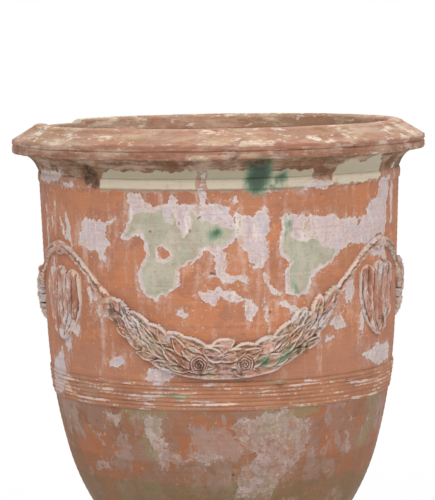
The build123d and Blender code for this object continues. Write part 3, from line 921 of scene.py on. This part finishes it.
reed_heights = np.arange(reed_foot, 443.2, 0.72)
reed_swing = np.abs(np.sin(math.pi * (reed_heights - reed_foot) / reed_pitch))
reed_radii = wall_at(reed_heights)[0] + 1.2 + 2.4 * reed_swing ** 0.75
band_outline = np.concatenate([
    np.stack([reed_radii, reed_heights], axis=1),
    np.array([(292.0, 443.6), (286.0, 443.6), (284.0, 430.0)]),
    np.array([(281.0, 412.0), (278.0, 396.6), (283.0, 396.2)]),
])
reeded_band = turned("urn_reeded_band", band_outline, 700, band_shape, joins=(394.5, 446.0))
reeded_band.data.materials.append(
    weathered(
        "clay_reeds", "AC7658", "9A694F", brown=0.15, wash_share=0.5, hollows=0.6, edges=1.12, rings=0.3,
        run=(0.9, 0.9, 6.0), chalk_and_highlight_lines=5.0, fray=2.4, thin=0.5, smear=0.22,
        mottle=(
            (9.0, 0.54, (1.0, 1.0, 1.5), "A0806C", 0.7),
            (14.0, 0.58, (1.0, 1.0, 1.5), "98906E", 0.7),
        ),
    )
)
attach(reeded_band, "root")
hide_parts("reeded_band")


# Foot
# A hollow turned foot: a low plinth, a round roll, a hollow waist and a collar against the bowl.
# It stands on damp ground, so it is the most stained part.


def foot_shape(azimuth, radius, height, outward):
    """Chips the roll and the plinth a little, and leaves the standing face true."""
    turn = np.radians(azimuth)
    wear = 0.5 + 0.35 * np.sin(8 * turn + 1.3) * np.sin(3 * turn) + 0.2 * np.sin(19 * turn + height / 6)
    chips = ((-64, 2.0, 3.0), (12, 1.6, 2.2), (71, 2.4, 3.4), (134, 1.8, 2.5), (-142, 2.2, 3.2))
    for at, width, depth in chips:
        apart = (azimuth - at + 180.0) % 360.0 - 180.0
        wear = wear + depth * np.exp(-((apart / width) ** 2)) * smooth_step(150.0, 164.0, radius)
    return radius - np.where(outward[:, 0] > 0.2, np.clip(wear, 0.05, 4.0), 0.0), height


roll_arc = np.linspace(-math.pi / 2, math.pi / 2, 22)
foot_roll = np.stack([157.0 + 11.0 * np.cos(roll_arc), 22.0 + 13.0 * np.sin(roll_arc)], axis=1)
waist = np.linspace(0.0, 1.0, 30)
waist_line = np.stack([
    147.0 - 31.0 * np.sin(waist * math.pi / 2) ** 0.8,
    40.0 + 47.0 * waist ** 1.15,
], axis=1)
foot_outline = np.concatenate([
    np.linspace((138.0, 0.0), (154.5, 0.0), 7),
    np.array([(160.5, 0.0), (162.5, 1.2), (163.0, 3.0), (163.0, 6.0), (162.6, 8.4)]),
    foot_roll,
    np.array([(154.0, 35.8), (150.0, 36.4), (148.0, 38.0)]),
    waist_line,
    np.array([(117.6, 87.6), (124.0, 88.4), (132.0, 89.2), (135.6, 92.0)]),
    np.array([(136.2, 98.0), (136.2, 104.0), (135.0, 109.0)]),
    np.array([(120.0, 110.0), (96.0, 110.0), (88.0, 106.5), (86.0, 96.0), (87.0, 84.0), (92.0, 70.0)]),
    np.array([(102.0, 56.0), (116.0, 42.0), (128.0, 28.0), (134.0, 14.0), (136.5, 3.0)]),
])
foot = turned("urn_foot", foot_outline, 480, foot_shape, joins=(4.0, 37.0, 94.0, 102.0, 110.0))
foot.data.materials.append(
    weathered(
        "clay_foot", "A2704F", "92664C", brown=0.4, wash_share=0.5, hollows=0.6, edges=0.3,
        wash_tint="B3988A",
        mottle=(
            (9.0, 0.5, (1.0, 1.0, 1.0), "94766A", 0.75),
            (12.0, 0.54, (1.0, 1.0, 1.5), "8A8264", 0.75),
            (20.0, 0.58, (1.0, 1.0, 1.5), "B8A398", 0.7),
        ),
    )
)
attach(foot, "root")
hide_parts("foot")


# Garlands
# Three festoons of leaves, husks and berries, pressed from moulds and stuck to the wall while it
# was soft. The front one hangs lower than the two others. Each ends in two thin cords.


swag_radius = 297.0


def swag_height(azimuth, drop):
    """Height in mm of a swag's middle line: 656 - drop (1 + cos(pi (|a| / 60)^1.35)) / 2."""
    share = np.clip(np.abs(azimuth) / 60.0, 0.0, 1.0) ** 1.35
    return 656.0 - drop * (1.0 + np.cos(math.pi * share)) / 2.0


def sprig(name, azimuth, height, rise, bed, calm=1.0):
    """A closed piece of relief on the wall: a front of rises in mm, and a back bed mm inside.

    Each grid point lies on the wall at its azimuth and height, moved along the wall's normal:
    r = wall + rise cos(lean), z = height - rise sin(lean). The grid runs from left to right
    and then upwards. Rises below -bed stay just in front of the back. The field called crest
    is the rise over its blurred neighbours, times calm.
    """
    rise = np.maximum(rise, 0.6 - bed)
    radius, lean = wall_at(height)
    radius = radius - unevenness(azimuth, height)
    turn = np.radians(azimuth)
    sheets = []
    for lift in (rise, np.full(rise.shape, -bed)):
        away = radius + lift * np.cos(lean)
        sheets.append(np.stack(
            [away * np.sin(turn), -away * np.cos(turn), height - lift * np.sin(lean)], axis=-1
        ).reshape(-1, 3))
    front = np.arange(rise.size).reshape(rise.shape)
    back = front + rise.size
    faces = [
        np.stack([front[:-1, :-1], front[:-1, 1:], front[1:, 1:], front[1:, :-1]], axis=-1).reshape(-1, 4),
        np.stack([back[:-1, :-1], back[1:, :-1], back[1:, 1:], back[:-1, 1:]], axis=-1).reshape(-1, 4),
    ]
    border = np.concatenate([
        front[0, :], front[1:, -1], front[-1, -2::-1], front[-2:0:-1, 0],
    ])
    following = np.roll(border, -1)
    faces.append(np.stack([border, border + rise.size, following + rise.size, following], axis=-1))
    fields = coats(azimuth.ravel(), height.ravel())
    fields = {key: np.concatenate([values, values]) for key, values in fields.items()}
    crest = ((rise - blurred(rise, 7, (0, 1))) * calm).ravel()
    fields["crest"] = np.concatenate([crest, crest])
    return mesh_piece(name, np.concatenate(sheets), np.concatenate(faces), fields)


def swag_grid(azimuths, across, drop):
    """Azimuths and heights of a grid laid along a swag: its middle line plus t times its normal."""
    line = np.radians(azimuths) * swag_radius
    middle = swag_height(azimuths, drop)
    slope = np.arctan(np.gradient(middle, line))
    x = line[:, None] - across[None, :] * np.sin(slope)[:, None]
    height = middle[:, None] + across[None, :] * np.cos(slope)[:, None]
    run = np.concatenate([[0.0], np.cumsum(np.hypot(np.diff(line), np.diff(middle)))])
    run -= np.interp(0.0, azimuths, run)
    return np.degrees(x / swag_radius), height, run[:, None] + 0.0 * across[None, :]


def cord_twist(run, across):
    """What a rolled cord's rise is multiplied by: 1 less 0.07 cos(2 pi (run + across) / 9) and
    0.08 sin(run / 6.1) sin(run / 15), for its twist and its dents."""
    strands = 0.07 * np.cos(2 * math.pi * (run / 9.0 + across / 9.0))
    return 1.0 - strands - 0.08 * np.sin(run / 6.1) * np.sin(run / 15.0)


def leaf_rise(along, across, start, heading, length, width, proud):
    """Rise of one lens-shaped leaf with a raised edge, a dished face and a thin midrib.

    Its half width is width / 2 sin(pi u^0.85)^0.8, where u runs from the stalk to the tip. Over
    q, the share of the half width, the face is 0.3 + 0.7 exp(-((q - 0.8) / 0.17)^2) for the edge
    and 0.3 exp(-(q / 0.13)^2) for the midrib, and 0.55 u lifts the tip.
    """
    x = along - start[0]
    y = across - start[1]
    u = (x * math.cos(heading) + y * math.sin(heading)) / length
    v = y * math.cos(heading) - x * math.sin(heading)
    inside_u = np.clip(u, 0.0, 1.0)
    half = width / 2 * np.sin(math.pi * inside_u ** 0.85) ** 0.8 + 1e-3
    q = np.abs(v) / half
    face = 0.3 + 0.7 * np.exp(-(((q - 0.8) / 0.17) ** 2)) + 0.3 * np.exp(-((q / 0.13) ** 2))
    inside_leaf = (u > 0.0) & (u < 1.0) & (q < 1.0)
    edge = 1.0 - smooth_step(0.9, 1.0, q)
    return np.where(inside_leaf, proud * (face * edge + 0.55 * inside_u), -50.0)


def garland_rise(azimuths, across, run, seed, slack):
    """Rise in mm of a garland over the wall: a domed body, two cords at each end, a smooth
    border below, overlapping leaves above, and berries where the cords begin. It is no higher
    than 9 mm where the two rosettes sit, and slow sines make it lumpy. slack is the share by
    which the cords are pressed flatter towards the ties."""
    dice = np.random.default_rng(seed)
    angle = np.abs(azimuths)[:, None]
    t = across[None, :] + 0.0 * angle
    swell = (1.0 + np.cos(math.pi * np.minimum(1.0, angle / 46.0) ** 2)) / 2.0
    width = 13.0 + 41.0 * swell
    relief = (7.5 + 7.5 * swell) * (1.0 - slack * smooth_step(39.0, 45.0, angle))
    share = np.clip(np.abs(t) / (width / 2), 0.0, 1.3)
    body = (relief - 4.0 * swell) * (1.0 - share ** 3.0)
    cord = width / 4.0
    roundness = np.sqrt(np.clip(1.0 - ((np.abs(t) - cord) / cord) ** 2, 0.0, 1.0))
    cords = relief * 1.05 * roundness * cord_twist(run, t)
    arms = smooth_step(31.0, 39.0, angle)
    cords = np.maximum(cords, 0.55 * relief * (np.abs(t) < cord))
    rise = np.where(share < 1.0, body * (1.0 - arms) + (cords - 0.4) * arms, -9.0)
    border = 1.0 - smooth_step(26.0, 33.0, angle)
    roll = np.clip(1.0 - ((t + width / 2 - 6.5) / 6.5) ** 2, 0.0, 1.0)
    rise = np.maximum(rise, np.where(roll > 0.0, 9.5 * np.sqrt(roll) * border - 9.0 * (1.0 - border), -9.0))
    reach = width / 2 + np.where(t > 0.0, 20.0, 11.0)
    dome = relief * 0.72 * (1.0 - np.clip(np.abs(t) / reach, 0.0, 1.0) ** 2.6)
    for side in (-1.0, 1.0):
        x = run * side
        for first, last, step, low, heading, length, leaf_width, proud in (
            (8.0, 205.0, 26.0, -4.0, 0.10, 44.0, 19.0, 3.6),
            (-6.0, 215.0, 29.0, 7.0, 0.36, 50.0, 21.0, 4.4),
            (20.0, 200.0, 27.0, -12.0, -0.16, 38.0, 16.0, 3.0),
            (-20.0, 150.0, 37.0, 21.0, 0.1, 58.0, 23.0, 3.4),
        ):
            for place in np.arange(first, last, step):
                shrink = 1.0 - 0.35 * smooth_step(110.0, 215.0, place)
                leaf = leaf_rise(
                    x, t,
                    (place + dice.uniform(-3, 3), low * shrink + dice.uniform(-1.5, 1.5)),
                    heading + dice.uniform(-0.22, 0.22),
                    length * shrink * dice.uniform(0.78, 1.2),
                    leaf_width * shrink * dice.uniform(0.75, 1.2),
                    proud * dice.uniform(0.6, 1.3),
                )
                rise = np.maximum(rise, np.where(leaf > 0.0, dome + leaf, rise))
        for _ in range(34):
            place = dice.uniform(120.0, 235.0)
            spread = 19.0 * (1.0 - smooth_step(150.0, 260.0, place)) + 3.0
            middle = dice.uniform(-spread, spread) + 3.0
            size = dice.uniform(3.4, 6.4)
            ball = 1.0 - ((x - place) ** 2 + (t - middle) ** 2) / size ** 2
            berry = dome * 0.85 + size * np.sqrt(np.clip(ball, 0, 1))
            rise = np.maximum(rise, np.where(ball > 0.0, berry, rise))
    seat = 1.0 - smooth_step(12.0, 16.5, np.hypot(np.abs(run) - 36.0, t + 2.0))
    rise = rise + (np.minimum(rise, 9.0) - rise) * seat
    lumps = 1.3 * np.sin(run / 7.0 + t / 5.0) * np.sin(run / 17.0 - t / 4.0)
    lumps = lumps + 0.6 * np.sin(run / 2.7 + 1.7 * np.sin(t / 3.0)) * np.sin(t / 2.9 + run / 11.0)
    return np.where(rise > -2.0, rise + lumps * smooth_step(0.0, 6.0, rise), rise)


sprig_clay = weathered(
    "clay_sprigs", "A87257", "8E5D48", slip_more=0.2, glaze_more=-0.5, wash_share=0.62, brown=0.25,
    hollows=1.3, edges=0.5, rings=0.0, run=(2.5, 2.5, 2.0), fray=2.2, bumpy=0.0042,
    mottle=(
        (22.0, 0.52, (1.0, 1.0, 1.0), "BCA298", 0.7),
        (30.0, 0.55, (1.0, 1.0, 1.0), "B5A98C", 0.75),
        (15.0, 0.53, (1.0, 1.0, 1.0), "8C8466", 0.7),
        (18.0, 0.57, (1.0, 1.0, 1.0), "B8785C", 0.8),
        (26.0, 0.56, (1.0, 1.0, 1.0), "8A5E48", 0.8),
        (40.0, 0.6, (1.0, 1.0, 1.0), "D3C6C8", 0.85),
    ),
)
medallion_clay = weathered(
    "clay_medallions", "AA7058", "94604A", slip_more=0.0, wash_share=0.6, brown=0.2,
    hollows=1.15, edges=0.45, rings=0.2, run=(9.0, 9.0, 0.7), fray=2.4, bumpy=0.0040, chalk_and_highlight_lines=5.0,
    mottle=(
        (18.0, 0.53, (3.0, 3.0, 0.6), "B7968A", 0.75),
        (20.0, 0.54, (3.0, 3.0, 0.5), "84594A", 0.85),
        (26.0, 0.57, (3.0, 3.0, 0.5), "CDBEB8", 0.85),
    ),
)
for name, centre, drop, columns, seed, slack in (
    ("garland_front", 0.0, 180.0, 700, 4, 0.1),
    ("garland_right", 120.0, 140.0, 560, 9, 0.5),
    ("garland_left", -120.0, 140.0, 560, 15, 0.5),
):
    along = np.linspace(-51.0, 51.0, columns)
    across = np.linspace(-37.0, 47.0, 68)
    grid_azimuth, grid_height, run = swag_grid(along, across, drop)
    rise = garland_rise(along, across, run, seed, slack)
    rise[0, :] = -9.0
    rise[-1, :] = -9.0
    calm = 0.8 - 0.42 * smooth_step(29.0, 37.0, np.abs(along))[None, :]
    garland = sprig("urn_" + name, grid_azimuth.T + centre, grid_height.T, rise.T, 6.0, calm)
    garland.data.materials.append(sprig_clay)
    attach(garland, "root")
    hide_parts(name)


# Rosettes
# A pair of small coiled flowers on each garland, either side of its lowest point. Each was
# rolled from strips of clay and pressed on.


def rosette_rise(x, y, base):
    """A coiled flower: a dome with petals that rise outwards along a spiral, in mm.

    With a slightly lobed radius R = r (1 + 0.04 cos(5a + 0.8) + 0.03 cos(2a)), the petals are
    3.2 w^1.5 (0.3 + 0.7 |cos(2.5a + 1.9n)|^0.5), where n and w are the whole and the broken
    part of R / 4.3 - a / 2 pi.
    """
    radius = np.hypot(x, y)
    angle = np.arctan2(y, x)
    lobed = radius * (1.0 + 0.04 * np.cos(5.0 * angle + 0.8) + 0.03 * np.cos(2.0 * angle))
    dome = 5.5 * np.sqrt(np.clip(1.0 - (lobed / 14.6) ** 2, 0.0, 1.0))
    coil = lobed / 4.3 - angle / (2.0 * math.pi)
    petal = np.abs(np.cos(2.5 * angle + 1.9 * np.floor(coil))) ** 0.5
    petals = 3.2 * (coil - np.floor(coil)) ** 1.5 * (0.3 + 0.7 * petal)
    return np.where(lobed < 14.6, base + dome + petals, base - 8.0)


for name, centre, drop in (
    ("rosettes_front", 0.0, 180.0),
    ("rosettes_right", 120.0, 140.0),
    ("rosettes_left", -120.0, 140.0),
):
    pair = []
    for side in (-6.9, 6.9):
        spread = np.linspace(-15.6, 15.6, 58)
        x, y = np.meshgrid(spread, spread)
        degrees = centre + side + np.degrees(x / swag_radius)
        height = swag_height(np.array(side), drop) - 2.0 + y
        rise = rosette_rise(x * math.copysign(1.0, side), y, 8.2)
        flower = sprig("urn_" + name, degrees, height, rise, 1.0, 1.2)
        pair.append(flower)
    with bpy.context.temp_override(active_object=pair[0], selected_editable_objects=pair):
        bpy.ops.object.join()
    rosettes = pair[0]
    rosettes.data.materials.append(sprig_clay)
    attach(rosettes, "root")
    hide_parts(name)


# Ties
# A knot of ribbon over each medallion, where the cords of two garlands meet and cross.


tie_radius = 300.0


def tie_rise(across, run):
    """Two twisted cords, and over their middle a ribbon's knot 27 mm wide, in mm."""
    t = across[None, :] + 0.0 * run
    cords = np.abs(np.abs(t) - 3.6) / 3.7
    roundness = np.sqrt(np.clip(1.0 - cords ** 2, 0.0, 1.0))
    rise = np.where(cords < 1.0, 8.0 * roundness * cord_twist(run, t), -9.0)
    bridge = np.where(np.abs(t) < 5.0, 4.0, -9.0)
    rise = np.maximum(rise, bridge)
    knot = 1.0 - (run / 13.5) ** 2 - (t / 9.5) ** 2
    wraps = 1.0 + 0.1 * np.cos(2 * math.pi * run / 6.5)
    rise = np.maximum(rise, np.where(knot > 0.0, 11.6 * np.clip(knot, 0.0, 1.0) ** 0.35 * wraps, -9.0))
    for side in (-1.0, 1.0):
        x = side * run - 9.0
        y = t + 9.0
        loop = 1.0 - (np.hypot((x * 0.8 + y * 0.6) / 9.0, (y * 0.8 - x * 0.6) / 4.5)) ** 2
        rise = np.maximum(rise, np.where(loop > 0.0, 6.5 * np.clip(loop, 0.0, 1.0) ** 0.5, -9.0))
    return rise


for name, centre, left_drop, right_drop in (
    ("tie_right", 60.0, 180.0, 140.0),
    ("tie_left", -60.0, 140.0, 180.0),
    ("tie_back", 180.0, 140.0, 140.0),
):
    along = np.linspace(-11.0, 11.0, 120)
    across = np.linspace(-18.0, 14.0, 44)
    line = np.radians(along) * tie_radius
    middle = np.where(
        along < 0.0, swag_height(60.0 + along, left_drop), swag_height(60.0 - along, right_drop)
    )
    slope = np.arctan(np.gradient(middle, line))
    x = line[:, None] - across[None, :] * np.sin(slope)[:, None]
    height = middle[:, None] + across[None, :] * np.cos(slope)[:, None]
    run = line[:, None] + 0.0 * across[None, :]
    rise = tie_rise(across, run)
    rise[0, :] = -9.0
    rise[-1, :] = -9.0
    tie = sprig("urn_" + name, np.degrees(x / tie_radius).T + centre, height.T, rise.T, 5.0, 0.4)
    tie.data.materials.append(sprig_clay)
    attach(tie, "root")
    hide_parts(name)


# Medallions
# A shield with a crown of three arches under each tie, its face a fan of ribs that spreads from
# a small husk at the foot. Pressed from one mould and worn differently.


medallion_height = 563.0


def medallion_rise(x, y, wear):
    """Rise in mm of the shield over the wall.

    Its edge is |x| = 56 sin(pi/2 ((y + 63) / 76))^0.62 below and three arches above. Inside a
    thin border nine ribs follow |cos(4 pi x / edge)|, so they close on the husk at the foot.
    """
    low = np.clip((y + 63.0) / 76.0, 0.0, 1.0)
    half = 56.0 * np.sin(math.pi / 2 * low) ** 0.62
    lane = np.abs((x + 54.0) % 36.0 - 18.0) / 18.0
    top = 46.0 + 15.0 * np.sqrt(np.clip(1.0 - lane ** 2, 0.0, 1.0)) - 5.0 * smooth_step(16.0, 22.0, np.abs(x))
    gap = np.minimum((half - np.abs(x)) * 0.85, top - y)
    cheek = 7.5 * (1.0 - 0.35 * (x / 56.0) ** 2)
    edge = np.sqrt(np.clip(gap / 7.0, 0.0, 1.0))
    border = 0.4 * np.exp(-(((gap - 3.6) / 1.5) ** 2))
    across = x / np.maximum(half, 6.0)
    ribs = np.abs(np.cos(math.pi * 4.0 * across + 0.35 * np.sin(y / 17.0))) ** 0.6
    depth = smooth_step(0.5, 5.0, gap)
    worn = 0.7 + 0.3 * np.sin(y / 13.0 + 2.0 * x / 11.0 + 3.0 * wear)
    columns = (6.0 * ribs * worn - 3.4) * depth * smooth_step(-60.0, -48.0, y)
    nicks = np.sin(y / 4.1 + 2.0 * np.sin(x / 6.0 + y / 15.0)) * np.sin(x / 3.3 + 1.5 * np.sin(y / 7.0))
    husk = 1.0 - (x / 8.0) ** 2 - ((y + 48.0) / 12.0) ** 2
    rise = cheek * edge + border + columns + 0.9 * nicks * depth * wear
    rise = np.maximum(rise, np.where(husk > 0.0, 6.5 + 4.5 * np.sqrt(np.clip(husk, 0.0, 1.0)), -9.0))
    return np.where(gap > 0.0, rise, -9.0)


for name, centre, wear in (
    ("medallion_right", 60.0, 1.0),
    ("medallion_left", -60.0, 0.7),
    ("medallion_back", 180.0, 0.9),
):
    x, y = np.meshgrid(np.linspace(-60.0, 60.0, 100), np.linspace(-66.0, 64.0, 108))
    rise = medallion_rise(x, y, wear)
    radius, _ = wall_at(medallion_height + y)
    degrees = centre + np.degrees(x / radius)
    medallion = sprig("urn_" + name, degrees, medallion_height + y, rise, 6.0, 0.75)
    medallion.data.materials.append(medallion_clay)
    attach(medallion, "root")
    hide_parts(name)
